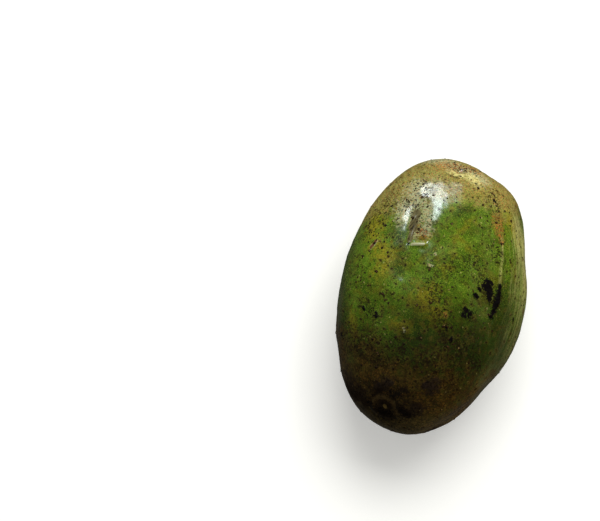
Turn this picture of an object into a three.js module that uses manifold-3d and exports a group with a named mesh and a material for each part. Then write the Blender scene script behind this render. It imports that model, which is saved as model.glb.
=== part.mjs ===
// A whole june plum (Spondias dulcis), lying on its side on the small flat spot under its belly.
// Millimetres. +Y runs along the fruit from its stem scar to its blossom tip, +Z is up, and the
// origin is on the table under the middle of the fruit.
import * as THREE from "three";
import { mergeVertices } from "three/addons/utils/BufferGeometryUtils.js";
import Module from "manifold-3d";

// Driving dimensions
const LENGTH = 76;
const WIDTH = 50.2;
const HEIGHT = 48.0; // before the belly is flattened
const FLAT_SPOT_DEPTH = 0.55; // how far the belly is pressed flat where the fruit rests

// How the fruit departs from an ellipsoid
const BLOSSOM_BLUNTNESS = 0.42; // extra girth at the blossom tip, as a share of the girth
const STEM_BLUNTNESS = 0.2; // the same at the stem scar
const END_RISE = 2.4; // how far both ends curve up above the middle
const LOBE_COUNT = 5;
const LOBE_DEPTH = 0.2; // half the height difference between a lobe and the furrow beside it
const FURROW_TURN = -22; // degrees, the turn of the furrow nearest the top

const GRID = 20; // squares along each edge of the cube that is rounded into the fruit

// A place on the skin: station runs from -1 at the stem end to 1 at the blossom end, and turn is
// in degrees round the fruit, 0 at the top and positive towards +X.
const place = (station, turn) => ({ station, turn });

// Swells and hollows: each fades away from the line between its two places, and height is how far
// it stands out of the skin, negative for a hollow.
const FORMS = [
  // the flattened flank beside the stem end, and the shoulder that it leaves below the middle
  { from: place(-0.86, 80), to: place(-0.6, 84), height: -1.9, spread: 6.5 },
  { from: place(-0.1, 88), to: place(0.1, 88), height: 0.6, spread: 9 },
  // the full shoulder beside the blossom tip, with a slant above it and a flat flank below it
  { from: place(0.78, 76), to: place(0.72, 80), height: 0.4, spread: 6 },
  { from: place(0.97, 60), to: place(0.97, 60), height: -1.1, spread: 6 },
  { from: place(0.42, 86), to: place(0.42, 86), height: -0.4, spread: 8 },
  // the flatter cheek on the other side
  { from: place(-0.2, -88), to: place(-0.5, -86), height: -0.5, spread: 10 },
  // the furrow that runs down from the blossom shoulder, and the dent beside it
  { from: place(0.5, -25), to: place(0.05, -21), height: -0.7, spread: 4 },
  { from: place(0.34, 6), to: place(0.26, 18), height: -0.4, spread: 6 },
  // the suture ridge on the +X side and the hollow along it
  { from: place(0.62, 42), to: place(0, 50), height: 0.6, spread: 4.5 },
  { from: place(0.6, 24), to: place(0, 30), height: -0.5, spread: 5 },
  // the dimple of the stem scar and the pit of the blossom tip
  { from: place(-0.89, -26), to: place(-0.89, -26), height: -1.0, spread: 3.6 },
  { from: place(0.88, -4), to: place(0.88, -4), height: -0.8, spread: 3 },
  // soft dents of the underside
  { from: place(-0.4, 140), to: place(-0.1, 150), height: -0.5, spread: 8 },
  { from: place(0.45, -140), to: place(0.2, -132), height: -0.6, spread: 7 },
];

const radians = THREE.MathUtils.degToRad;

// The smooth body, before its swells and hollows, in the direction of a unit vector.
function bodyPoint(direction) {
  const station = THREE.MathUtils.clamp(direction.y, -1, 1);
  const latitude = Math.asin(station) / (Math.PI / 2);
  const bluntness = latitude > 0 ? BLOSSOM_BLUNTNESS : STEM_BLUNTNESS;
  const girth = 1 + bluntness * Math.abs(latitude) ** 3;
  return new THREE.Vector3(
    (WIDTH / 2) * girth * direction.x,
    (LENGTH / 2) * station,
    (HEIGHT / 2) * girth * direction.z + END_RISE * station ** 2,
  );
}

function directionOf({ station, turn }) {
  const ring = Math.sqrt(1 - station ** 2);
  return new THREE.Vector3(
    ring * Math.sin(radians(turn)),
    station,
    ring * Math.cos(radians(turn)),
  );
}

function outwardNormal(direction) {
  return new THREE.Vector3(
    direction.x / WIDTH,
    direction.y / LENGTH,
    direction.z / HEIGHT,
  ).normalize();
}

function lobeHeight(direction) {
  const turn = Math.atan2(direction.x, direction.z) - radians(FURROW_TURN);
  const ring = 1 - direction.y ** 2;
  return -LOBE_DEPTH * ring * Math.cos(LOBE_COUNT * turn);
}

const forms = FORMS.map(({ from, to, height, spread }) => ({
  line: new THREE.Line3(
    bodyPoint(directionOf(from)),
    bodyPoint(directionOf(to)),
  ),
  height,
  spread,
}));

function formHeight(point) {
  const nearest = new THREE.Vector3();
  return forms.reduce((sum, { line, height, spread }) => {
    line.closestPointToPoint(point, true, nearest);
    return sum + height * Math.exp(-((nearest.distanceTo(point) / spread) ** 2));
  }, 0);
}

function skinPoint(direction) {
  const point = bodyPoint(direction);
  const height = formHeight(point) + lobeHeight(direction);
  return point.addScaledVector(outwardNormal(direction), height);
}

// A cube whose grid is spread evenly over the sphere, so that no triangle is much smaller than
// another and there is no pole.
function sphereGrid() {
  const cube = new THREE.BoxGeometry(2, 2, 2, GRID, GRID, GRID);
  cube.deleteAttribute("normal");
  cube.deleteAttribute("uv");
  return mergeVertices(cube);
}

function skinGeometry() {
  const geometry = sphereGrid();
  const position = geometry.getAttribute("position");
  const direction = new THREE.Vector3();
  for (let i = 0; i < position.count; i++) {
    direction.fromBufferAttribute(position, i);
    direction.set(
      ...direction.toArray().map((c) => Math.tan((c * Math.PI) / 4)),
    );
    const point = skinPoint(direction.normalize());
    position.setXYZ(i, point.x, point.y, point.z);
  }
  return geometry;
}

// Stands the fruit over the origin, with its lowest point one flat-spot depth below the table.
function seat(geometry) {
  geometry.computeBoundingBox();
  const { min, max } = geometry.boundingBox;
  geometry.translate(
    -(min.x + max.x) / 2,
    -(min.y + max.y) / 2,
    -min.z - FLAT_SPOT_DEPTH,
  );
}

const wasm = await Module();
wasm.setup();

function solidOf(geometry) {
  return new wasm.Manifold(
    new wasm.Mesh({
      numProp: 3,
      vertProperties: new Float32Array(geometry.getAttribute("position").array),
      triVerts: new Uint32Array(geometry.index.array),
    }),
  );
}

function geometryOf(solid) {
  const { vertProperties, triVerts } = solid.getMesh();
  const geometry = new THREE.BufferGeometry();
  geometry.setAttribute(
    "position",
    new THREE.BufferAttribute(vertProperties, 3),
  );
  geometry.setIndex(new THREE.BufferAttribute(triVerts, 1));
  geometry.computeVertexNormals();
  return geometry;
}

// Everything under the table top, which trims the belly to its flat spot.
function belowTable() {
  const depth = HEIGHT;
  const slab = new THREE.BoxGeometry(2 * WIDTH, 2 * LENGTH, depth);
  slab.deleteAttribute("normal");
  slab.deleteAttribute("uv");
  slab.translate(0, 0, -depth / 2);
  return mergeVertices(slab);
}

function fruit() {
  const skin = skinGeometry();
  seat(skin);
  const resting = solidOf(skin).subtract(solidOf(belowTable()));
  const peel = new THREE.MeshStandardMaterial({
    color: "#5d6a27",
    roughness: 0.42,
    metalness: 0,
  });
  const mesh = new THREE.Mesh(geometryOf(resting), peel);
  mesh.name = "fruit";
  return mesh;
}

const junePlum = new THREE.Group();
junePlum.add(fruit());

export default junePlum;
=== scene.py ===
"""A whole june plum lying on its side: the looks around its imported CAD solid.

The skin is a fine grid of its own, shaped by the rule that the CAD solid follows, with the finer
relief that a grown skin has. Places on it are given as (station, turn): station runs from -1 at
the stem end to 1 at the blossom end, and turn is in degrees round the fruit, 0 at the top and
positive towards +X. Lengths here are in millimetres until they reach a mesh or a node.
"""

import math

import bpy
import bmesh
import numpy as np
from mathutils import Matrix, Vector


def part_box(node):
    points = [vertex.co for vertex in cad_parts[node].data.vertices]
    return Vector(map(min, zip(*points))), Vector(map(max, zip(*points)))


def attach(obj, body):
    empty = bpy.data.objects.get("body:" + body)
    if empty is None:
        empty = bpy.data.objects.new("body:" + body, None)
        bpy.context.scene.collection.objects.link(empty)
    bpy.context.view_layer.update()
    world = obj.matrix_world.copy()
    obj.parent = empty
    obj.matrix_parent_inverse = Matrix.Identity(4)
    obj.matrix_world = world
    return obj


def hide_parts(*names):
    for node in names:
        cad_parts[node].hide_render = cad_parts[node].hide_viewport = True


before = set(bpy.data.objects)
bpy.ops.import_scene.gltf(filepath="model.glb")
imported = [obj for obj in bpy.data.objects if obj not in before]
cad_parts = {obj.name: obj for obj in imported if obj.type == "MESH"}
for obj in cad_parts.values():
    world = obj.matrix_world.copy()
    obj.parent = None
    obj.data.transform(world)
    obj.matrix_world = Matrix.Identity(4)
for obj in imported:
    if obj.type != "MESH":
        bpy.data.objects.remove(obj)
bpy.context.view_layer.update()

MM = 0.001

# ---------------------------------------------------------------------------------------------
# The fruit's form, as in its CAD solid
# ---------------------------------------------------------------------------------------------

LENGTH = 76.0
WIDTH = 50.2
HEIGHT = 48.0  # before the belly is flattened
BLOSSOM_BLUNTNESS = 0.42
STEM_BLUNTNESS = 0.2
END_RISE = 2.4
LOBE_COUNT = 5
LOBE_DEPTH = 0.2
FURROW_TURN = -22.0

# Swells and hollows: (from, to, height, spread).
FORMS = [
    # the flattened flank beside the stem end, and the shoulder below the middle
    ((-0.86, 80), (-0.6, 84), -1.9, 6.5),
    ((-0.1, 88), (0.1, 88), 0.6, 9),
    # the full shoulder beside the blossom tip, its slant and the flat flank below it
    ((0.78, 76), (0.72, 80), 0.4, 6),
    ((0.97, 60), (0.97, 60), -1.1, 6),
    ((0.42, 86), (0.42, 86), -0.4, 8),
    # the flatter cheek on the other side
    ((-0.2, -88), (-0.5, -86), -0.5, 10),
    # the furrow from the blossom shoulder, and the dent beside it
    ((0.5, -25), (0.05, -21), -0.7, 4),
    ((0.34, 6), (0.26, 18), -0.4, 6),
    # the suture ridge on the +X side and the hollow along it
    ((0.62, 42), (0, 50), 0.6, 4.5),
    ((0.6, 24), (0, 30), -0.5, 5),
    # the dimple of the stem scar and the pit of the blossom tip
    ((-0.89, -26), (-0.89, -26), -1.0, 3.6),
    ((0.88, -4), (0.88, -4), -0.8, 3),
    # soft dents of the underside
    ((-0.4, 140), (-0.1, 150), -0.5, 8),
    ((0.45, -140), (0.2, -132), -0.6, 7),
]

STEM_SCAR = (-0.89, -26)
SCAR_RING_RADIUS = 3.3
BLOSSOM_TIP = (0.88, -4)
BLOSSOM_RADIUS = 3.0  # of the puckered place that no lenticels grow on

# Relief that is too fine for the CAD solid, in the same form.
RELIEF = [
    # an old nick: a groove that narrows towards the stem end, and the cut lip across its foot
    ((0.47, -26), (0.36, -25), -0.4, 1.2),
    ((0.4, -25), (0.25, -23.6), -0.45, 0.8),
    ((0.272, -20.5), (0.283, -14), -0.5, 0.55),
    ((0.24, -21), (0.25, -13.5), 0.42, 0.6),
    # the suture: a thin raised line, and the shallow gutter on its upper side
    ((0.6, 35), (0.3, 39), 0.3, 0.75),
    ((0.3, 39), (0.0, 42), 0.3, 0.7),
    ((0.0, 42), (-0.3, 44.5), 0.15, 0.7),
    ((0.55, 31), (0.1, 36), -0.25, 1.6),
    # corky scabs
    ((0.6, 33), (0.48, 36), 0.22, 1.5),
    ((-0.35, -14), (-0.37, -11), 0.2, 1.2),
    ((0.12, -8), (0.11, -5), 0.12, 0.9),
    # small dents
    ((0.1, 8), (0.1, 8), -0.3, 2.6),
    ((-0.22, -30), (-0.22, -30), -0.3, 3.0),
    ((-0.55, 30), (-0.5, 34), -0.3, 3.2),
    ((0.2, 95), (0.1, 97), -0.35, 3.0),
    ((0.35, -110), (0.3, -112), -0.3, 2.6),
    ((-0.3, 178), (-0.34, 172), -0.3, 3.0),
    ((0.5, 150), (0.5, 156), -0.3, 2.4),
]

END_GAP = 0.02  # of the unit sphere's radius, which keeps a logarithm finite at the two ends
SKIN_GRID = 128  # squares along each edge of the cube that is rounded into the skin
FLAT_EDGE = 0.15  # mm over which the belly eases into its flat spot
LUMP_SIZE, LUMP_HEIGHT = 9.0, 0.10
PEBBLE_SIZE, PEBBLE_HEIGHT = 2.4, 0.022
SOOT_CRUST, SAP_CRUST = 0.1, 0.05  # mean thicknesses
FLAKE_SIZE = 1.3
GROWTHS_ABOVE = 2.0  # nothing grows on the skin nearer to the table than this


def direction_of(place):
    """Unit vector of a (station, turn) place."""
    station, turn = place
    ring = math.sqrt(1 - station**2)
    angle = math.radians(turn)
    return np.array([[ring * math.sin(angle), station, ring * math.cos(angle)]])


def body_points(directions):
    """The smooth body, before its swells and hollows."""
    station = np.clip(directions[:, 1], -1, 1)
    latitude = np.arcsin(station) / (math.pi / 2)
    bluntness = np.where(latitude > 0, BLOSSOM_BLUNTNESS, STEM_BLUNTNESS)
    girth = 1 + bluntness * np.abs(latitude) ** 3
    return np.stack(
        [
            WIDTH / 2 * girth * directions[:, 0],
            LENGTH / 2 * station,
            HEIGHT / 2 * girth * directions[:, 2] + END_RISE * station**2,
        ],
        axis=1,
    )


def outward(directions):
    """The way that the skin faces, near enough for the small heights that are added along it."""
    normals = directions / [WIDTH, LENGTH, HEIGHT]
    return normals / np.linalg.norm(normals, axis=1, keepdims=True)


def distance_to(points, start, end):
    """Distance of each point from the straight line between two places on the smooth body."""
    a, b = (body_points(direction_of(place))[0] for place in (start, end))
    along = b - a
    share = np.clip((points - a) @ along / max(along @ along, 1e-9), 0, 1)
    return np.linalg.norm(points - a - share[:, None] * along, axis=1)


def radius_from(points, place):
    """Distance of each point from one place on the smooth body."""
    return distance_to(points, place, place)


def bump_heights(points, forms):
    """The swells and hollows together: each is full on its line and falls off over its spread."""
    return sum(
        height * np.exp(-((distance_to(points, start, end) / spread) ** 2))
        for start, end, height, spread in forms
    )


def lobe_heights(directions):
    """The shallow lobes round the fruit. One of the furrows between them is at FURROW_TURN."""
    turn = np.arctan2(directions[:, 0], directions[:, 2]) - math.radians(FURROW_TURN)
    return -LOBE_DEPTH * (1 - directions[:, 1] ** 2) * np.cos(LOBE_COUNT * turn)


def ripples(points, size, seed):
    """A smooth random field of about -1 to 1 whose swells are about `size` apart."""
    waves = 40
    rng = np.random.default_rng(seed)
    axes = rng.normal(size=(waves, 3))
    axes /= np.linalg.norm(axes, axis=1, keepdims=True)
    lengths = size * rng.uniform(0.7, 1.5, waves)
    phases = rng.uniform(0, 2 * math.pi, waves)
    angles = points @ (axes * (2 * math.pi / lengths)[:, None]).T + phases
    return np.cos(angles).sum(axis=1) / math.sqrt(waves)


def stem_scar_heights(points):
    """A puckered ring round the hollow where the stalk came off, with a dry stub in the middle."""
    radius = radius_from(points, STEM_SCAR) + 0.35 * ripples(points, 4.0, seed=3)
    ring = 0.22 * np.exp(-(((radius - SCAR_RING_RADIUS) / 0.55) ** 2))
    inner_ring = 0.1 * np.exp(-(((radius - 2.0) / 0.4) ** 2))
    hollow = -0.55 * np.exp(-((radius / 2.3) ** 2))
    stub = 0.5 * np.exp(-((radius / 0.7) ** 2))
    outer_crease = -0.12 * np.exp(-(((radius - 4.6) / 0.5) ** 2))
    return ring + inner_ring + hollow + stub + outer_crease


def blossom_heights(points):
    """The small dry pit where the flower was, in a ring of puckers."""
    radius = radius_from(points, BLOSSOM_TIP) + 0.3 * ripples(points, 3.0, seed=4)
    pit = -0.6 * np.exp(-((radius / 1.1) ** 2))
    puckers = 0.14 * np.exp(-(((radius - 2.1) / 0.8) ** 2)) * (1 + ripples(points, 1.8, seed=5))
    return pit + puckers


# ---------------------------------------------------------------------------------------------
# Where the skin's markings lie. Each is a list of strokes (from, to, reach): a mark is strongest
# on its line and gone at its reach. The peel's material breaks the edges with noise.
# ---------------------------------------------------------------------------------------------

MARKS = {
    "soot": [
        # the streak beside the suture
        ((0.115, 40.5), (0.06, 41), 0.8),
        ((0.06, 41), (-0.04, 40.8), 1.3),
        ((-0.04, 40.8), (-0.11, 40), 0.9),
        # the splash next to it
        ((0.12, 30.5), (0.115, 35), 0.9),
        ((0.115, 31.5), (0.07, 31.5), 1.3),
        ((0.09, 34), (0.05, 35.5), 1.1),
        ((0.06, 32.5), (0.0, 36), 1.0),
        ((0.08, 28.5), (0.07, 31), 0.8),
        ((0.05, 26.5), (0.04, 27.5), 0.7),
        ((0.0, 24.5), (-0.01, 26), 0.95),
        # clusters towards the stem end from it
        ((-0.12, 20.5), (-0.13, 22), 1.0),
        ((-0.13, 24.5), (-0.15, 24), 1.0),
        ((-0.16, 20), (-0.165, 21.5), 0.8),
        # single crumbs
        ((0.71, 31), (0.7, 32), 0.6),
        ((-0.33, 17), (-0.35, 17.5), 0.65),
        ((-0.27, 12), (-0.28, 12.5), 0.5),
        ((-0.25, -44), (-0.27, -43), 0.5),
        ((-0.28, -34.5), (-0.285, -33.5), 0.55),
        ((-0.3, -35), (-0.305, -33), 0.45),
        ((-0.44, -66), (-0.45, -67), 0.8),
        ((0.24, -23.8), (0.235, -23.8), 0.5),
        ((-0.05, 62), (-0.06, 62.5), 0.6),
        ((0.16, 100), (0.08, 103), 1.3),
        ((0.05, 108), (0.02, 110), 1.0),
        ((-0.25, 128), (-0.3, 124), 1.2),
        ((0.32, -128), (0.24, -130), 1.4),
        ((-0.1, -160), (-0.02, -164), 1.2),
        ((-0.4, -100), (-0.42, -103), 1.0),
    ],
    "sap": [
        (STEM_SCAR, STEM_SCAR, 7.6),
        ((-0.88, 2), (-0.85, 10), 4.5),
        ((-0.84, -58), (-0.8, -70), 6.5),
        ((-0.66, 17), (-0.68, 14), 3.6),
        ((-0.77, -28), (-0.72, -20), 3.0),
        ((-0.93, 90), (-0.96, 140), 4.0),
    ],
    "tar": [  # thick black sap, in and beside the scar's ring
        ((-0.94, -34), (-0.93, -14), 2.0),
        ((-0.925, -32), (-0.905, -46), 1.5),
        ((-0.9, -46), (-0.875, -44), 1.4),
        ((-0.87, -6), (-0.89, 8), 1.5),
        ((-0.79, -14), (-0.74, -4), 1.6),
    ],
    "gold": [
        ((0.76, 8), (0.74, 22), 5.0),
        ((0.78, 28), (0.68, 44), 4.8),
        ((0.6, 48), (0.5, 58), 4.5),
        ((0.52, -62), (0.3, -52), 7.0),
        ((0.2, -46), (0.12, -36), 5.5),
        ((0.0, -38), (0.02, -36), 4.2),
        ((0.32, -20), (0.3, -14), 2.8),
        ((-0.1, -6), (-0.2, 3), 6.0),
        ((-0.33, -20), (-0.36, -12), 3.6),
        ((-0.32, -54), (-0.42, -50), 3.0),
        ((0.3, 80), (0.2, 84), 4.5),
        ((-0.2, 96), (-0.3, 100), 5.5),
        ((0.45, 130), (0.35, 134), 6.0),
        ((-0.1, 168), (-0.2, 172), 6.5),
        ((0.2, -112), (0.1, -118), 6.0),
        ((0.5, -150), (0.45, -158), 5.5),
        ((-0.3, -140), (-0.38, -134), 6.0),
    ],
    "scab": [
        ((0.66, -34), (0.54, -28), 4.6),
        ((0.52, -38), (0.42, -34), 3.2),
        ((0.5, -27), (0.42, -24), 3.0),
        ((0.52, -20), (0.44, -17), 2.4),
        ((0.33, -22), (0.36, -15), 2.6),
        ((0.215, -46.5), (0.175, -48.5), 0.75),
        ((0.115, -8), (0.11, -5), 0.6),
        ((0.2, -5.5), (0.19, -5), 0.5),
        ((-0.35, -13.5), (-0.37, -12.5), 0.5),
        ((0.93, -50), (0.9, -10), 4.0),
        ((0.9, -6), (0.84, 22), 3.4),
        ((0.5, 112), (0.42, 116), 2.4),
        ((-0.45, -165), (-0.5, -158), 2.8),
        ((0.1, -98), (0.05, -95), 1.8),
    ],
    "red_scratch": [
        ((0.22, -47), (0.17, -49), 0.5),
        ((0.05, 76), (0.02, 78), 0.5),
    ],
    # bright gold patches by the blossom tip: gold skin with a painted highlight over it
    "gold_and_glint": [((0.85, -12), (0.83, 0), 2.2), ((0.85, 6), (0.8, 14), 2.6)],
    "rust": [
        ((0.59, 33), (0.49, 36), 2.0),
        ((0.49, 36), (0.42, 38), 1.0),
        ((0.88, -26), (0.9, -8), 3.2),
        ((0.91, -4), (0.9, 14), 2.4),
        ((-0.18, 9), (-0.2, 10), 0.6),
        ((0.36, -22), (0.32, -16), 2.0),
    ],
    "pepper": [  # where fine dark flecks crowd together
        ((0.69, -32), (0.62, -24), 3.0),
        ((0.55, -36), (0.5, -30), 2.0),
        ((-0.28, 13), (-0.37, 17), 2.6),
        ((-0.33, -14), (-0.38, -12), 1.6),
        ((-0.18, 8), (-0.2, 10), 1.2),
        ((0.19, -6), (0.11, -6), 1.6),
        ((-0.45, -62), (-0.52, -30), 6.0),
        ((-0.5, -22), (-0.52, 14), 5.0),
        ((-0.42, 20), (-0.6, 30), 6.0),
        ((-0.3, 26), (-0.44, 42), 4.0),
        ((0.0, -2), (-0.2, 6), 3.6),
        ((0.12, 8), (0.2, 20), 4.0),
        ((-0.12, 20), (-0.15, 26), 2.4),
        ((0.1, 28), (0.04, 38), 3.4),
        ((0.36, 33), (0.3, 38), 2.6),
        ((0.74, 28), (0.64, 33), 2.6),
        ((0.91, -12), (0.89, 8), 2.4),
        ((0.34, -21), (0.34, -17), 1.6),
        ((-0.24, -44), (-0.3, -34), 2.6),
        ((0.5, -52), (0.3, -58), 4.5),
        ((0.1, 120), (-0.3, 130), 8.0),
        ((-0.5, 170), (-0.6, -150), 9.0),
        ((0.4, -100), (0.0, -110), 6.0),
    ],
    "murk": [  # dark blotches on the dull half
        ((-0.32, 10), (-0.37, 14), 1.7),
        ((-0.36, 22), (-0.41, 27), 1.6),
        ((-0.43, 38), (-0.47, 47), 1.6),
        ((-0.37, -3), (-0.39, -2), 1.2),
        ((-0.47, -13), (-0.49, -11), 1.5),
        ((-0.52, -49), (-0.57, -44), 1.8),
        ((-0.54, 4), (-0.5, 12), 1.7),
        ((-0.5, 100), (-0.4, 106), 2.4),
        ((-0.4, 160), (-0.46, 168), 2.6),
        ((-0.45, -110), (-0.5, -104), 2.2),
    ],
    "healed_cut": [((0.48, -25.8), (0.36, -24.9), 1.3), ((0.38, -25), (0.27, -24.2), 0.85)],
    "cut_lip": [((0.24, -21.5), (0.253, -14), 0.62)],
    "stub": [(STEM_SCAR, STEM_SCAR, 0.9)],
    "dull": [((0.18, -23), (0.02, -20), 5.0)],
    # a paler band along the flank at +X: partly the rib's own paler skin, partly painted light on
    # that side
    "pale_rib_and_rim_light": [
        ((0.6, 60), (-0.6, 64), 5.5),
        ((0.5, 74), (-0.6, 78), 7.0),
    ],
    # the suture's pale crest: partly its own paler skin, partly a painted highlight along the
    # ridge
    "suture_crest_and_highlight": [((0.44, 37.6), (0.3, 39), 0.8), ((0.3, 39), (0.13, 40.4), 0.7)],
    # deeper green patches, partly painted shade: along the flank at -X, beside the suture and on
    # the lower half
    "deep_green_and_shade": [
        ((-0.3, -6), (-0.4, 8), 8.0),
        ((0.3, -31), (0.05, -26), 4.0),
        ((0.52, 4), (0.57, 8), 3.0),
        ((-0.35, 28), (-0.52, 38), 7.0),
        ((-0.36, -10), (-0.42, 24), 6.0),
        ((0.15, -82), (-0.5, -78), 9.0),
        ((0.12, -76), (-0.28, -68), 8.0),
        ((0.1, 48), (-0.25, 56), 6.0),
    ],
}
CROWDED = [  # where the lenticels stand close
    ((0.6, -48), (-0.05, -44), 10.0),
    ((0.66, -34), (0.5, -24), 6.5),
    ((-0.1, -4), (-0.35, 4), 7.0),
    ((-0.4, -52), (-0.5, -30), 9.0),
    ((0.62, 30), (0.4, 50), 8.0),
    ((-0.3, 14), (-0.4, 22), 5.0),
    ((0.3, 150), (-0.2, 160), 12.0),
    ((0.5, -120), (0.1, -110), 9.0),
]


def strength(points, strokes):
    """1 on a stroke's line, 0 at its reach, and below 0 past it."""
    return np.max(
        [1 - distance_to(points, start, end) / reach for start, end, reach in strokes], axis=0
    )


def zone(distance, width):
    """-1 to 1 across an edge `width` wide that lies where distance is 0."""
    return np.clip(distance / (width / 2), -1, 1)


def meridians(directions, radius, stretch):
    """Places for a grain that follows the fruit's fibres from the stem scar to the blossom tip.

    The skin is unrolled to a cylinder of that radius whose axis joins the two, with lengths along
    it shrunk `stretch` times. An even pattern there is drawn out on the fruit: along the fibres
    where `stretch` is large, and round the two ends where `radius` is small.
    """
    scar, tip = (direction_of(place)[0] for place in (STEM_SCAR, BLOSSOM_TIP))
    axis = (tip - scar) / np.linalg.norm(tip - scar)
    across = np.cross(axis, [0, 0, 1])
    across /= np.linalg.norm(across)
    over = np.cross(across, axis)
    from_scar = directions - scar
    angle = np.arctan2(from_scar @ across, from_scar @ over)
    to_tip = np.linalg.norm(directions - tip, axis=1)
    to_scar = np.linalg.norm(from_scar, axis=1)
    # equal steps along the axis are wider the further they are from both ends
    along = np.log((to_scar + END_GAP) / (to_tip + END_GAP)) * LENGTH / 4
    return np.stack([radius * np.cos(angle), radius * np.sin(angle), along / stretch], axis=1)


def rounded_cube(grid):
    """A closed mesh of quads whose vertices are spread evenly over the unit sphere."""
    shape = bmesh.new()
    bmesh.ops.create_cube(shape, size=2.0)
    bmesh.ops.subdivide_edges(shape, edges=shape.edges[:], cuts=grid - 1, use_grid_fill=True)
    mesh = bpy.data.meshes.new("skin")
    shape.to_mesh(mesh)
    shape.free()
    corners = np.empty(len(mesh.vertices) * 3)
    mesh.vertices.foreach_get("co", corners)
    directions = np.tan(corners.reshape(-1, 3) * (math.pi / 4))
    return mesh, directions / np.linalg.norm(directions, axis=1, keepdims=True)


def seated(points):
    """Moves the fruit to where its CAD solid stands, and eases its belly into the flat spot."""
    low, high = (np.array(corner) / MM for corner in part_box("fruit"))
    middle = (points.min(axis=0) + points.max(axis=0)) / 2
    shift = (low + high) / 2 - middle
    shift[2] = high[2] - points[:, 2].max()
    points = points + shift
    points[:, 2] = (points[:, 2] + np.sqrt(points[:, 2] ** 2 + FLAT_EDGE**2)) / 2
    return points


def store(mesh, name, values):
    """Keeps a number or a vector for each point, where the materials and scatters can read it."""
    vector = values.ndim == 2
    kind = "FLOAT_VECTOR" if vector else "FLOAT"
    field = mesh.attributes.new(name, kind, "POINT")
    field.data.foreach_set("vector" if vector else "value", values.astype(np.float32).ravel())


def add_object(name, mesh):
    piece = bpy.data.objects.new(name, mesh)
    bpy.context.scene.collection.objects.link(piece)
    return piece


def skin_heights(body, directions, marks):
    """How far the finished skin stands off the smooth body."""
    heights = bump_heights(body, FORMS + RELIEF) + lobe_heights(directions)
    heights += stem_scar_heights(body) + blossom_heights(body)
    heights += LUMP_HEIGHT * ripples(body, LUMP_SIZE, seed=1)
    heights += PEBBLE_HEIGHT * ripples(body, PEBBLE_SIZE, seed=2)
    # crusts of soot and sap are flaky
    crust = SOOT_CRUST * np.clip(marks["soot"] * 2, 0, 1) + SAP_CRUST * np.clip(marks["sap"], 0, 1)
    heights += crust * (1 + ripples(body, FLAKE_SIZE, seed=6))
    return heights


def brown_edge(body, turn):
    """The station that the stem end's brown reaches, which is furthest on the side at -X."""
    edge = -0.56 - 0.02 * np.sin(turn) + np.clip(-np.sin(turn) - 0.8, 0, 1)
    return edge + 0.06 * ripples(body, 16.0, seed=7)


def khaki_edge(body, turn):
    """The station where the blossom end's khaki begins. It wanders most on the underside."""
    edge = 0.66 - 0.24 * np.clip(-np.sin(turn), 0, 1) + 0.04 * ripples(body, 14.0, seed=8)
    return edge + 0.14 * np.clip(0.2 - np.cos(turn), 0, 1) * ripples(body, 12.0, seed=10)


def broad_zones(body, station, turn):
    """Fields that pass through 0 at the edges of the peel's broad zones of colour."""
    # painted shade darkens the green towards the stem end; the green stays unshaded furthest
    # towards the stem on the upper side at -X
    shade_edge = -0.13 + 0.18 * np.sin(2 * turn)
    return {
        "pale_stem": zone(-0.84 - station, 0.3),
        "stem_end_shade": zone(shade_edge - station, 0.8),
        "browned": zone(brown_edge(body, turn) - station, 0.5),
        "khaki": zone(station - khaki_edge(body, turn), 0.3),
    }


def growths(body, points, station, turn, marks):
    """How densely the lenticels and the crumbs of soot stand, from 0 to 1."""
    crowding = 0.09 + 0.18 * np.clip(ripples(body, 8.0, seed=9), 0, 1)
    crowding += 0.6 * np.clip(strength(body, CROWDED), 0, 1)
    crowding += 0.15 * np.clip(zone(brown_edge(body, turn) - station, 0.34), 0, 1)
    off_table = points[:, 2] > GROWTHS_ABOVE
    off_ends = (marks["sap"] < 0.3) & (radius_from(body, BLOSSOM_TIP) > BLOSSOM_RADIUS)
    return {
        "lenticels": crowding * (off_table & off_ends),
        "soot_crumbs": np.clip(marks["soot"] * 1.2 - 0.1, 0, 1) * off_table,
    }


def make_skin():
    """The skin as one closed mesh, with the fields that its material and its growths follow."""
    mesh, directions = rounded_cube(SKIN_GRID)
    body = body_points(directions)
    station, turn = directions[:, 1], np.arctan2(directions[:, 0], directions[:, 2])
    marks = {name: strength(body, strokes) for name, strokes in MARKS.items()}
    heights = skin_heights(body, directions, marks)
    points = seated(body + outward(directions) * heights[:, None])
    mesh.vertices.foreach_set("co", (points * MM).astype(np.float32).ravel())
    mesh.shade_smooth()

    fields = {
        "grain": meridians(directions, radius=24.0, stretch=7.0) * MM,
        "rings": meridians(directions, radius=3.0, stretch=1.0) * MM,
        "scar_ring": 1 - np.abs(radius_from(body, STEM_SCAR) - SCAR_RING_RADIUS),
    }
    fields |= marks | broad_zones(body, station, turn)
    fields |= growths(body, points, station, turn, marks)
    for name, values in fields.items():
        store(mesh, name, values)
    return add_object("skin", mesh)


# ---------------------------------------------------------------------------------------------
# Materials
# ---------------------------------------------------------------------------------------------


def linear(hex_colour):
    """An sRGB hex colour as linear RGBA."""
    channels = [int(hex_colour[i : i + 2], 16) / 255 for i in (0, 2, 4)]
    return [c / 12.92 if c <= 0.04045 else ((c + 0.055) / 1.055) ** 2.4 for c in channels] + [1.0]


def per(size):
    """The scale of a pattern whose features are `size` millimetres across."""
    return 1 / (size * MM)


def add(tree, kind, inputs=None, **settings):
    """Adds a node, with its settings and with its inputs set to values or linked to outputs."""
    node = tree.nodes.new(kind)
    for name, value in settings.items():
        setattr(node, name, value)
    for key, value in (inputs or {}).items():
        if isinstance(value, bpy.types.NodeSocket):
            tree.links.new(value, node.inputs[key])
        else:
            node.inputs[key].default_value = value
    return node


def new_material(name):
    material = bpy.data.materials.new(name)
    material.use_nodes = True
    tree = material.node_tree
    return material, tree, tree.nodes["Principled BSDF"]


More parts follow.
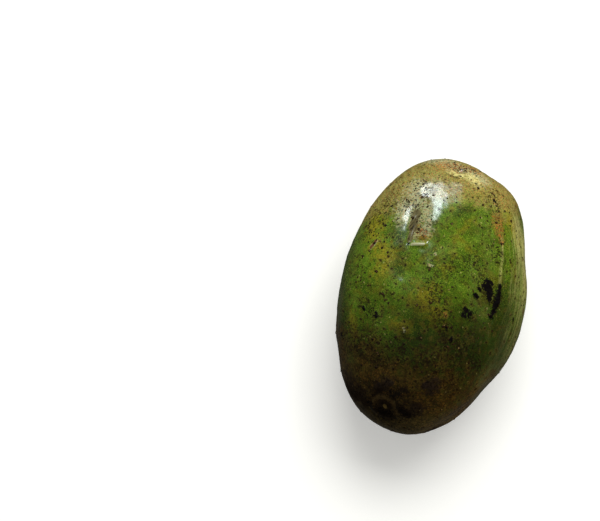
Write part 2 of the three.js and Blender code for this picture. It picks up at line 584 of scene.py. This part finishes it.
def ragged(tree, field, spots, size, raggedness, low, high):
    """A 0 to 1 mask: a stored field whose edge is broken by noise with features of that size."""
    stored = add(tree, "ShaderNodeAttribute", attribute_name=field)
    noise = add(
        tree, "ShaderNodeTexNoise",
        {"Vector": spots, "Scale": per(size), "Detail": 5.0, "Roughness": 0.65},
    )
    shifted = add(
        tree, "ShaderNodeMath",
        {0: noise.outputs["Fac"], 1: raggedness, 2: stored.outputs["Fac"]},
        operation="MULTIPLY_ADD",
    )
    middle = raggedness / 2  # the noise's own mean, taken off again
    mask = add(
        tree, "ShaderNodeMapRange",
        {"Value": shifted.outputs[0], "From Min": low + middle, "From Max": high + middle},
        interpolation_type="SMOOTHSTEP",
    )
    return mask.outputs["Result"]


def mottle(tree, spots, size, low, high, detail=3.0):
    """A 0 to 1 mask of cloudy patches of that size, where noise is between low and high."""
    noise = add(
        tree, "ShaderNodeTexNoise",
        {"Vector": spots, "Scale": per(size), "Detail": detail, "Roughness": 0.6},
    )
    mask = add(
        tree, "ShaderNodeMapRange",
        {"Value": noise.outputs["Fac"], "From Min": low, "From Max": high},
        interpolation_type="SMOOTHSTEP",
    )
    return mask.outputs["Result"]


def specks(tree, spots, spacing, radii, share):
    """One 0 to 1 mask of the same round specks for each radius. `share` of the places hold one."""
    cells = add(
        tree, "ShaderNodeTexVoronoi", {"Vector": spots, "Scale": per(spacing), "Randomness": 1.0}
    )
    chance = add(tree, "ShaderNodeSeparateColor", {"Color": cells.outputs["Color"]})
    chosen = add(
        tree, "ShaderNodeMath", {0: chance.outputs["Red"], 1: share}, operation="LESS_THAN"
    )
    masks = []
    for radius in radii:
        inside = add(
            tree, "ShaderNodeMapRange",
            {
                "Value": cells.outputs["Distance"],
                "From Min": radius / spacing,
                "From Max": radius / 2 / spacing,
            },
        )
        mask = add(
            tree, "ShaderNodeMath", {0: inside.outputs["Result"], 1: chosen.outputs[0]},
            operation="MULTIPLY",
        )
        masks.append(mask.outputs[0])
    return masks


def product(tree, *factors):
    """The product of masks and numbers."""
    result = factors[0]
    for factor in factors[1:]:
        result = add(
            tree, "ShaderNodeMath", {0: result, 1: factor}, operation="MULTIPLY"
        ).outputs[0]
    return result


def layered(tree, start, layers, data_type="RGBA"):
    """Lays each (value, mask) over what is below it."""
    below = start
    first, second, result = (6, 7, 2) if data_type == "RGBA" else (2, 3, 0)
    for value, mask in layers:
        below = add(
            tree, "ShaderNodeMix", {0: mask, first: below, second: value}, data_type=data_type
        ).outputs[result]
    return below


# Where each field that the skin stores shows on the peel:
# (coordinates, feature size of its broken edge, raggedness, low, high).
PEEL_ZONES = {
    # deeper green, partly painted shade
    "deep_green_and_shade": ("spots", 3.0, 1.2, 0.0, 1.0),
    # painted shade towards the stem end
    "stem_end_shade": ("spots", 5.0, 1.4, -0.7, 0.9),
    "gold": ("spots", 1.5, 3.0, 0.1, 1.3),
    "khaki": ("spots", 2.6, 2.4, -0.6, 0.8),
    "browned": ("spots", 2.4, 3.2, -0.6, 0.8),
    # paler rib, partly painted light
    "pale_rib_and_rim_light": ("grain", 1.0, 2.0, 0.0, 1.0),
    # pale crest, partly painted highlight
    "suture_crest_and_highlight": ("grain", 0.8, 1.0, 0.0, 1.0),
    "sap": ("spots", 1.4, 2.4, 0.1, 0.8),
    "tar": ("spots", 0.5, 4.0, 0.1, 0.7),
    "scab": ("spots", 0.8, 3.2, 0.0, 0.8),
    "healed_cut": ("grain", 0.6, 1.0, 0.0, 0.3),
    "cut_lip": ("grain", 0.4, 0.8, 0.0, 0.5),
    "stub": ("spots", 0.4, 0.9, 0.0, 0.5),
    "scar_ring": ("spots", 0.5, 3.0, 0.1, 0.6),
    "dull": ("spots", 2.0, 0.6, 0.0, 0.5),
    "soot": ("spots", 0.4, 3.2, 0.22, 0.34),
    "rust": ("spots", 0.6, 2.6, 0.0, 0.6),
    "pepper": ("spots", 1.6, 1.6, -0.2, 0.6),
    "murk": ("nudged", 0.6, 5.0, 0.5, 0.9),
    "red_scratch": ("spots", 0.3, 1.0, 0.0, 0.3),
    # gold skin with a painted highlight
    "gold_and_glint": ("spots", 0.6, 4.0, 0.2, 1.2),
    "pale_stem": ("spots", 2.5, 2.4, -0.6, 0.8),
}

# Patterns all over the peel, from cloudy patches down to streaks along the fibres and flecks of
# cork: (coordinates, feature size, low, high, detail).
PEEL_PATTERNS = {
    "deep": ("spots", 12.0, 0.42, 0.62, 5.0),
    "olive": ("spots", 5.0, 0.5, 0.66, 8.0),
    "fresh": ("spots", 3.6, 0.5, 0.68, 6.0),
    "crowded": ("spots", 7.0, 0.3, 0.7, 4.0),
    "patchy": ("spots", 3.0, 0.42, 0.6, 6.0),
    "uneven": ("spots", 1.6, 0.35, 0.65, 3.0),
    "dirt": ("spots", 1.5, 0.54, 0.66, 6.0),
    "grit": ("spots", 0.27, 0.54, 0.61, 1.0),
    "rust_flecks": ("spots", 0.42, 0.54, 0.6, 2.0),
    "ring_streaks": ("rings", 0.5, 0.5, 0.62, 4.0),
    "fine_streaks": ("grain", 0.36, 0.5, 0.62, 3.0),
    "blotches": ("nudged", 1.1, 0.55, 0.6, 5.0),
    "black_flecks": ("nudged", 0.45, 0.54, 0.6, 3.0),
    "pale_flecks": ("nudged", 0.25, 0.56, 0.64, 1.0),
}

# What lies over the fresh green, from the bottom up: (colour, how much it covers, the masks
# that it lies inside).
FRESH_GREEN = "526e0f"
PEEL_COLOURS = [
    ("40580a", 1.0, "deep"),
    ("706a10", 0.8, "olive"),
    ("6a8a22", 0.6, "fresh"),
    # deeper green, partly painted shade along the flank at -X, beside the suture and on the lower
    # half
    ("233405", 0.8, "deep_green_and_shade"),
    ("a08c1c", 0.9, "gold"),
    # paler rib along the flank at +X, partly painted light
    ("c6c074", 0.92, "pale_rib_and_rim_light"),
    # the suture's pale crest, partly painted highlight
    ("b4b060", 0.75, "suture_crest_and_highlight"),
    ("968848", 0.9, "khaki"),
    ("654c20", 0.85, "khaki", "ring_streaks"),
    ("aa6e3c", 0.85, "khaki", "rust_flecks"),
    ("a2aa34", 0.5, "pale_flecks"),
    ("c4b466", 0.5, "pale_dots"),
    # painted shade: the green darkened towards the stem end
    ("192504", 0.86, "stem_end_shade"),
    ("5a3b10", 0.92, "browned"),
    ("251606", 0.85, "browned", "patchy"),
    ("65582c", 0.7, "pale_stem"),
    ("7a5a26", 0.45, "browned", "rust_flecks"),
    ("1c0f05", 0.75, "browned", "fine_streaks"),
    ("140b04", 0.6, "browned", "cracks"),
    ("665220", 0.3, "halos"),
    ("38300a", 0.5, "dirt"),
    ("1c2604", 0.6, "grit"),
    ("2a201a", 0.85, "sap"),
    ("5e4a28", 0.6, "scar_ring"),
    ("0f0908", 0.85, "sap", "black_flecks"),
    ("b0ae7e", 0.7, "scab"),
    ("bc8a52", 0.7, "scab", "rust_flecks"),
    ("2a190c", 0.9, "scab", "black_flecks"),
    # gold skin lightened by a painted highlight
    ("dccb80", 0.75, "gold_and_glint"),
    ("8a6c34", 0.45, "rust"),
    ("b8662c", 0.85, "rust", "rust_flecks"),
    ("34200e", 0.8, "rust", "grit"),
    ("181004", 0.8, "murk"),
    ("231708", 0.75, "pepper", "blotches"),
    ("1a0f07", 0.95, "pepper", "black_flecks"),
    ("6b5e3c", 0.9, "healed_cut"),
    ("221a10", 0.95, "healed_cut", "fine_streaks"),
    ("a8a078", 0.85, "cut_lip"),
    ("1c1006", 0.9, "dots"),
    ("2a1b08", 0.8, "fine_dots"),
    ("c0ac68", 0.22, "pale_dots"),
    ("5c2110", 0.85, "red_scratch"),
    ("0f0a08", 0.85, "tar"),
    ("8a7340", 1.0, "stub"),
    ("0e0a0a", 1.0, "soot"),
]

# How dry the cuticle is, in the same form: 0 where its wax is whole and 1 where there is none.
PEEL_DRYNESS = [
    (0.15, 1.0, "uneven"),
    (0.4, 1.0, "khaki"),
    (0.5, 1.0, "browned"),
    (0.7, 1.0, "khaki", "ring_streaks"),
    (0.5, 1.0, "dirt"),
    (0.6, 1.0, "grit"),
    (0.2, 1.0, "scab"),
    (0.6, 1.0, "dull"),
    (0.95, 1.0, "scab", "black_flecks"),
    (0.6, 1.0, "rust"),
    (0.95, 1.0, "pepper", "black_flecks"),
    (0.8, 1.0, "healed_cut"),
    (0.95, 1.0, "sap"),
    (0.8, 1.0, "dots"),
    (1.0, 1.0, "soot"),
]

# How far the fine relief stands up, from 0 to 1, in the same form.
PEEL_RELIEF = [
    (0.9, 0.5, "khaki", "ring_streaks"),
    (0.2, 0.6, "browned", "cracks"),
    (1.0, 1.0, "pepper", "black_flecks"),
    (0.9, 0.7, "dots"),
    (1.0, 1.0, "soot", "grit"),
]

WAXY_ROUGHNESS, DRY_ROUGHNESS = 0.42, 0.85
RELIEF_DEPTH = 0.12  # mm


def masked_layers(tree, masks, rows):
    """Layers from rows of (value, how much it covers, the names of the masks it lies inside)."""
    layers = []
    for value, cover, *names in rows:
        factors = [masks[name] for name in names]
        if cover < 1:
            factors.append(cover)
        layers.append((value, product(tree, *factors)))
    return layers


def peel_masks(tree, spots):
    """Everything that the peel's layers lie inside, as 0 to 1 masks by name."""
    push = add(tree, "ShaderNodeTexNoise", {"Vector": spots, "Scale": per(0.8), "Detail": 2.0})
    nudged = add(
        tree, "ShaderNodeVectorMath",
        {0: push.outputs["Color"], 1: (0.7 * MM,) * 3, 2: spots},
        operation="MULTIPLY_ADD",
    ).outputs["Vector"]
    places = {
        "spots": spots,
        "nudged": nudged,  # pushed about a little, which makes round specks uneven
        "grain": add(tree, "ShaderNodeAttribute", attribute_name="grain").outputs["Vector"],
        "rings": add(tree, "ShaderNodeAttribute", attribute_name="rings").outputs["Vector"],
    }
    masks = {}
    for name, (place, *edge) in PEEL_ZONES.items():
        masks[name] = ragged(tree, name, places[place], *edge)
    for name, (place, *pattern) in PEEL_PATTERNS.items():
        masks[name] = mottle(tree, places[place], *pattern)

    net = add(
        tree, "ShaderNodeTexVoronoi",
        {"Vector": nudged, "Scale": per(1.2), "Randomness": 1.0},
        feature="DISTANCE_TO_EDGE",
    )
    masks["cracks"] = add(
        tree, "ShaderNodeMapRange",
        {"Value": net.outputs["Distance"], "From Min": 0.16, "From Max": 0.03},
    ).outputs["Result"]

    crowded = masks["crowded"]
    masks["dots"], masks["halos"] = specks(tree, nudged, 1.6, [0.42, 1.1], crowded)
    [masks["fine_dots"]] = specks(tree, nudged, 1.05, [0.3], product(tree, crowded, 1.3))
    [masks["pale_dots"]] = specks(tree, nudged, 1.7, [0.26], 0.4)
    return masks


def waxy_green_peel():
    """June plum peel: a thin leathery cuticle with bloomed wax, green where it is still unripe.

    Its wax gives a broad soft gloss. Where the cuticle has cracked and healed it is brown cork,
    which is dry and dull, so every brown mark also breaks the gloss.
    """
    material, tree, shader = new_material("waxy_green_peel")
    spots = add(tree, "ShaderNodeTexCoord").outputs["Object"]
    masks = peel_masks(tree, spots)

    colours = [(linear(colour), *row) for colour, *row in PEEL_COLOURS]
    colour = layered(tree, linear(FRESH_GREEN), masked_layers(tree, masks, colours))

    dryness = layered(tree, 0.0, masked_layers(tree, masks, PEEL_DRYNESS), data_type="FLOAT")
    roughness = add(
        tree, "ShaderNodeMapRange",
        {"Value": dryness, "To Min": WAXY_ROUGHNESS, "To Max": DRY_ROUGHNESS},
    )
    wax = add(tree, "ShaderNodeMapRange", {"Value": dryness, "To Min": 1.0, "To Max": 0.0})

    pores = add(
        tree, "ShaderNodeTexNoise",
        {"Vector": spots, "Scale": per(0.6), "Detail": 3.0, "Roughness": 0.6},
    ).outputs["Fac"]
    relief = layered(tree, pores, masked_layers(tree, masks, PEEL_RELIEF), data_type="FLOAT")
    bump = add(
        tree, "ShaderNodeBump",
        {"Height": relief, "Strength": 0.6, "Distance": RELIEF_DEPTH * MM},
    )

    tree.links.new(colour, shader.inputs["Base Color"])
    tree.links.new(roughness.outputs["Result"], shader.inputs["Roughness"])
    tree.links.new(wax.outputs["Result"], shader.inputs["Coat Weight"])
    tree.links.new(bump.outputs["Normal"], shader.inputs["Normal"])
    shader.inputs["IOR"].default_value = 1.45
    # the gloss is the wax's own, and what lies under it has very little
    shader.inputs["Specular IOR Level"].default_value = 0.06
    shader.inputs["Coat Roughness"].default_value = 0.21
    shader.inputs["Coat IOR"].default_value = 1.5
    return material


def cork_lenticel():
    """A lenticel: a pore that grew over with cork. Its rim is dark and its dry middle is pale."""
    material, tree, shader = new_material("cork_lenticel")
    spots = add(tree, "ShaderNodeTexCoord").outputs["Object"]
    rim = add(tree, "ShaderNodeAttribute", attribute_name="rim").outputs["Fac"]
    tint = add(tree, "ShaderNodeAttribute", attribute_name="tint").outputs["Fac"]
    worn = mottle(tree, spots, 0.5, 0.4, 0.6)
    core = add(
        tree, "ShaderNodeMapRange", {"Value": rim, "From Min": 0.62, "From Max": 0.3}
    ).outputs["Result"]
    paleness = add(
        tree, "ShaderNodeMapRange", {"Value": tint, "From Min": 0.8, "From Max": 1.0}
    ).outputs["Result"]
    layers = [
        (linear("36220e"), product(tree, worn, 0.6)),
        (linear("b89a5e"), product(tree, core, paleness)),
        (linear("6b4f28"), product(tree, core, worn, 0.4)),
    ]
    tree.links.new(layered(tree, linear("150c05"), layers), shader.inputs["Base Color"])
    shader.inputs["Roughness"].default_value = 0.8
    shader.inputs["Specular IOR Level"].default_value = 0.1
    return material


def sooty_crust():
    """Sooty mould: a matt black crust of fine threads, which crumbles at its edges."""
    material, tree, shader = new_material("sooty_crust")
    spots = add(tree, "ShaderNodeTexCoord").outputs["Object"]
    ashy = mottle(tree, spots, 0.6, 0.5, 0.7)
    layers = [(linear("2b2318"), product(tree, ashy, 0.6))]
    tree.links.new(layered(tree, linear("0d0908"), layers), shader.inputs["Base Color"])
    shader.inputs["Roughness"].default_value = 0.9
    shader.inputs["Specular IOR Level"].default_value = 0.1
    return material


def lit_white_acrylic():
    """The top of a light table: matt white acrylic that also glows, so that shadows stay pale."""
    material, _, shader = new_material("lit_white_acrylic")
    shader.inputs["Base Color"].default_value = linear("efefed")
    shader.inputs["Roughness"].default_value = 0.7
    shader.inputs["Emission Color"].default_value = linear("fffffc")
    shader.inputs["Emission Strength"].default_value = 0.34
    return material


# ---------------------------------------------------------------------------------------------
# Small growths on the skin, by Geometry Nodes
# ---------------------------------------------------------------------------------------------

PAD_SEGMENTS, PAD_RINGS = 8, 5
SMALLNESS = 2.5  # a higher power leaves fewer large pads


def flat_pad(tree, flatness):
    """A flattened ball of radius 1 that knows how far each point is from its middle, as "rim"."""
    ball = add(
        tree, "GeometryNodeMeshUVSphere",
        {"Segments": PAD_SEGMENTS, "Rings": PAD_RINGS, "Radius": 1.0},
    )
    place = add(tree, "GeometryNodeInputPosition").outputs["Position"]
    level = add(tree, "ShaderNodeVectorMath", {0: place, 1: (1, 1, 0)}, operation="MULTIPLY")
    from_middle = add(
        tree, "ShaderNodeVectorMath", {0: level.outputs["Vector"]}, operation="LENGTH"
    )
    marked = add(
        tree, "GeometryNodeStoreNamedAttribute",
        {"Geometry": ball.outputs["Mesh"], "Name": "rim", "Value": from_middle.outputs["Value"]},
        data_type="FLOAT", domain="POINT",
    )
    flat = add(tree, "ShaderNodeCombineXYZ", {"X": 1.0, "Y": 1.0, "Z": flatness})
    return add(
        tree, "GeometryNodeTransform",
        {"Geometry": marked.outputs["Geometry"], "Scale": flat.outputs["Vector"]},
    ).outputs["Geometry"]


def random_scale(tree, given):
    """Mostly small sizes between the smallest and largest radius, each stretched a little."""
    chance = add(tree, "FunctionNodeRandomValue", {"Seed": given["Seed"]}, data_type="FLOAT")
    mostly_small = add(
        tree, "ShaderNodeMath", {0: chance.outputs["Value"], 1: SMALLNESS}, operation="POWER"
    )
    radius = add(
        tree, "ShaderNodeMapRange",
        {
            "Value": mostly_small.outputs[0],
            "To Min": given["Smallest Radius"],
            "To Max": given["Largest Radius"],
        },
    )
    stretch = add(
        tree, "FunctionNodeRandomValue",
        {"Min": (0.75, 0.75, 0.8), "Max": (1.25, 1.25, 1.2), "Seed": given["Seed"]},
        data_type="FLOAT_VECTOR",
    )
    return add(
        tree, "ShaderNodeVectorMath",
        {0: stretch.outputs["Value"], "Scale": radius.outputs["Result"]},
        operation="SCALE",
    ).outputs["Vector"]


def tinted_and_spun(tree, pads):
    """Gives each pad a random "tint" from 0 to 1 and turns it about its own upright."""
    tint = add(tree, "FunctionNodeRandomValue", {"Seed": 5}, data_type="FLOAT")
    tinted = add(
        tree, "GeometryNodeStoreNamedAttribute",
        {"Geometry": pads, "Name": "tint", "Value": tint.outputs[1]},
        data_type="FLOAT", domain="INSTANCE",
    )
    spin = add(
        tree, "FunctionNodeRandomValue",
        {"Min": (0, 0, 0), "Max": (0, 0, 2 * math.pi), "Seed": 6},
        data_type="FLOAT_VECTOR",
    )
    return add(
        tree, "GeometryNodeRotateInstances",
        {"Instances": tinted.outputs["Geometry"], "Rotation": spin.outputs["Value"]},
    ).outputs["Instances"]


def roughened(tree, geometry, raggedness):
    """Pushes every point about by noise, by up to half the raggedness."""
    place = add(tree, "GeometryNodeInputPosition").outputs["Position"]
    noise = add(
        tree, "ShaderNodeTexNoise", {"Vector": place, "Scale": per(0.9), "Detail": 1.0}
    )
    centred = add(
        tree, "ShaderNodeVectorMath", {0: noise.outputs["Color"], 1: (0.5, 0.5, 0.5)},
        operation="SUBTRACT",
    )
    wobble = add(
        tree, "ShaderNodeVectorMath", {0: centred.outputs["Vector"], "Scale": raggedness},
        operation="SCALE",
    )
    return add(
        tree, "GeometryNodeSetPosition",
        {"Geometry": geometry, "Offset": wobble.outputs["Vector"]},
    ).outputs["Geometry"]


def scatter_tree():
    """Grows small pads over a mesh, where a stored field says, and keeps only the pads."""
    tree = bpy.data.node_groups.new("scatter_pads", "GeometryNodeTree")
    tree.interface.new_socket("Geometry", in_out="OUTPUT", socket_type="NodeSocketGeometry")
    sockets = {
        "Geometry": "Geometry",
        "Where": "String",
        "Most Per Square Metre": "Float",
        "Least Apart": "Float",
        "Smallest Radius": "Float",
        "Largest Radius": "Float",
        "Flatness": "Float",
        "Raggedness": "Float",
        "Seed": "Int",
        "Finish": "Material",
    }
    for name, kind in sockets.items():
        tree.interface.new_socket(name, in_out="INPUT", socket_type=f"NodeSocket{kind}")
    given = add(tree, "NodeGroupInput").outputs

    where = add(tree, "GeometryNodeInputNamedAttribute", {"Name": given["Where"]})
    points = add(
        tree, "GeometryNodeDistributePointsOnFaces",
        {
            "Mesh": given["Geometry"],
            "Distance Min": given["Least Apart"],
            "Density Max": given["Most Per Square Metre"],
            "Density Factor": where.outputs["Attribute"],
            "Seed": given["Seed"],
        },
        distribute_method="POISSON",
    )
    pads = add(
        tree, "GeometryNodeInstanceOnPoints",
        {
            "Points": points.outputs["Points"],
            "Instance": flat_pad(tree, given["Flatness"]),
            "Rotation": points.outputs["Rotation"],
            "Scale": random_scale(tree, given),
        },
    )
    turned = tinted_and_spun(tree, pads.outputs["Instances"])
    real = add(tree, "GeometryNodeRealizeInstances", {"Geometry": turned})
    rough = roughened(tree, real.outputs["Geometry"], given["Raggedness"])
    finished = add(
        tree, "GeometryNodeSetMaterial", {"Geometry": rough, "Material": given["Finish"]}
    )
    add(tree, "NodeGroupOutput", {"Geometry": finished.outputs["Geometry"]})
    return tree


def grow(name, skin, tree, **inputs):
    """Runs a scatter on the skin's mesh and returns the pads as an object with a plain mesh."""
    carrier = add_object(name + "_carrier", skin.data)
    scatter = carrier.modifiers.new("scatter", "NODES")
    scatter.node_group = tree
    identifiers = {
        item.name: item.identifier
        for item in tree.interface.items_tree
        if item.in_out == "INPUT"
    }
    for label, value in inputs.items():
        scatter[identifiers[label.replace("_", " ").title()]] = value
    evaluated = carrier.evaluated_get(bpy.context.evaluated_depsgraph_get())
    mesh = bpy.data.meshes.new_from_object(evaluated)
    mesh.shade_smooth()
    bpy.data.objects.remove(carrier)
    return add_object(name, mesh)


# ---------------------------------------------------------------------------------------------
# The studio
# ---------------------------------------------------------------------------------------------

VIEW_AZIMUTH, VIEW_ELEVATION = 14.4, 80.0
LENS = 100.0
VIEW_WIDTH = 163.2  # mm, what the camera sees across at the middle of the fruit
VIEW_MIDDLE_HEIGHT = 24.0  # mm above the table
AIM_RIGHT, AIM_UP = -35.9, 10.2  # mm from the fruit's middle to the middle of the view
TABLE_RADIUS = 2.5  # m

# Lights that fall on the fruit alone, and on the table alone: (name, azimuth, elevation, distance,
# width, height, watts, colour, whether the wax mirrors it). Lengths are in metres.
FRUIT_LIGHTS = [
    # a window's width of daylight beyond the blossom end, and its dimmer part behind a curtain
    ("window", -31, 32, 1.2, 0.45, 0.48, 17.6, "eefaff", True),
    ("curtain", -4, 30, 1.2, 0.3, 0.3, 2.8, "f4faff", True),
    # a broad sky beside it, which the gloss does not show
    ("sky", 68, 23, 1.4, 1.5, 0.7, 18.2, "fffdf6", False),
    # what the table bounces onto the stem end
    ("bounce", 180, 7, 1.4, 1.4, 0.35, 2.2, "fffaf0", False),
]
TABLE_LIGHTS = [
    # a softbox gives the faint shadow that lies beyond the stem end
    ("softbox", 0, 60, 1.4, 1.0, 0.8, 16.0, "fffffc", False),
    # a wide light overhead leaves the table dark only where the fruit touches it
    ("overhead", 0, 90, 1.4, 2.6, 2.6, 10.5, "fffffc", False),
]
ROOM_COLOUR, ROOM_STRENGTH = "f8f4e8", 0.065


def towards(azimuth, elevation):
    """Unit vector towards a compass bearing from +Y, positive to +X, and a height in degrees."""
    a, e = math.radians(azimuth), math.radians(elevation)
    return Vector((math.sin(a) * math.cos(e), math.cos(a) * math.cos(e), math.sin(e)))


def soft_light(lit, name, azimuth, elevation, distance, width, height, watts, colour, mirrored):
    """A rectangle of soft light that falls only on the pieces in `lit`.

    Every piece can still stand in its way and shade them.
    """
    lamp = bpy.data.lights.new(name, "AREA")
    lamp.shape = "RECTANGLE"
    lamp.size = width
    lamp.size_y = height
    lamp.energy = watts
    lamp.color = linear(colour)[:3]
    holder = add_object(name, lamp)
    direction = towards(azimuth, elevation)
    holder.location = direction * distance
    holder.rotation_euler = direction.to_track_quat("Z", "Y").to_euler()
    holder.visible_glossy = mirrored
    receivers = bpy.data.collections.new("lit_by_" + name)
    for piece in lit:
        receivers.objects.link(piece)
    holder.light_linking.receiver_collection = receivers


def light_room():
    """A dim room that is white where the camera looks straight at it."""
    world = bpy.data.worlds.new("studio")
    world.use_nodes = True
    tree = world.node_tree
    background = tree.nodes["Background"]
    background.inputs["Color"].default_value = linear(ROOM_COLOUR)
    seen = add(tree, "ShaderNodeLightPath").outputs["Is Camera Ray"]
    strength_seen = add(
        tree, "ShaderNodeMapRange", {"Value": seen, "To Min": ROOM_STRENGTH, "To Max": 1.0}
    )
    tree.links.new(strength_seen.outputs["Result"], background.inputs["Strength"])
    bpy.context.scene.world = world


def add_camera():
    """Looks down on the fruit, from a little beyond its stem end, with the fruit at the right."""
    low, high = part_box("fruit")
    middle = (low + high) / 2
    middle.z = VIEW_MIDDLE_HEIGHT * MM
    back = towards(180 - VIEW_AZIMUTH, VIEW_ELEVATION)
    right = towards(90 - VIEW_AZIMUTH, 0)
    up = back.cross(right)
    camera = bpy.data.cameras.new("camera")
    camera.lens = LENS
    camera.clip_start = 0.01
    distance = LENS * VIEW_WIDTH / camera.sensor_width * MM
    holder = add_object("camera", camera)
    holder.location = middle + (right * AIM_RIGHT + up * AIM_UP) * MM + back * distance
    holder.rotation_mode = "QUATERNION"
    holder.rotation_quaternion = back.to_track_quat("Z", "Y")
    bpy.context.scene.camera = holder


def add_table():
    """A round table top that fills the view from above."""
    mesh = bpy.data.meshes.new("table")
    shape = bmesh.new()
    bmesh.ops.create_circle(shape, cap_ends=True, segments=96, radius=TABLE_RADIUS)
    shape.to_mesh(mesh)
    shape.free()
    table = add_object("table", mesh)
    mesh.materials.append(lit_white_acrylic())
    # the wax mirrors the dark room and not the table, whose bounce is a light of its own
    table.visible_glossy = False
    table.visible_diffuse = False
    return table


# ---------------------------------------------------------------------------------------------
# The fruit, put together
# ---------------------------------------------------------------------------------------------

skin = make_skin()
skin.data.materials.append(waxy_green_peel())
pads = scatter_tree()
lenticels = grow(
    "lenticels", skin, pads,
    where="lenticels",
    most_per_square_metre=500000.0,
    least_apart=0.4 * MM,
    smallest_radius=0.12 * MM,
    largest_radius=0.42 * MM,
    flatness=0.22,
    raggedness=0.4 * MM,
    seed=11,
    finish=cork_lenticel(),
)
soot_crumbs = grow(
    "soot_crumbs", skin, pads,
    where="soot_crumbs",
    most_per_square_metre=5000000.0,
    least_apart=0.3 * MM,
    smallest_radius=0.08 * MM,
    largest_radius=0.24 * MM,
    flatness=0.3,
    raggedness=0.4 * MM,
    seed=12,
    finish=sooty_crust(),
)

fruit_pieces = (skin, lenticels, soot_crumbs)
for piece in fruit_pieces:
    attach(piece, "root")
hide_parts("fruit")

table = add_table()
for light in FRUIT_LIGHTS:
    soft_light(fruit_pieces, *light)
for light in TABLE_LIGHTS:
    soft_light([table], *light)
light_room()
add_camera()
bpy.context.scene.view_settings.view_transform = "Standard"
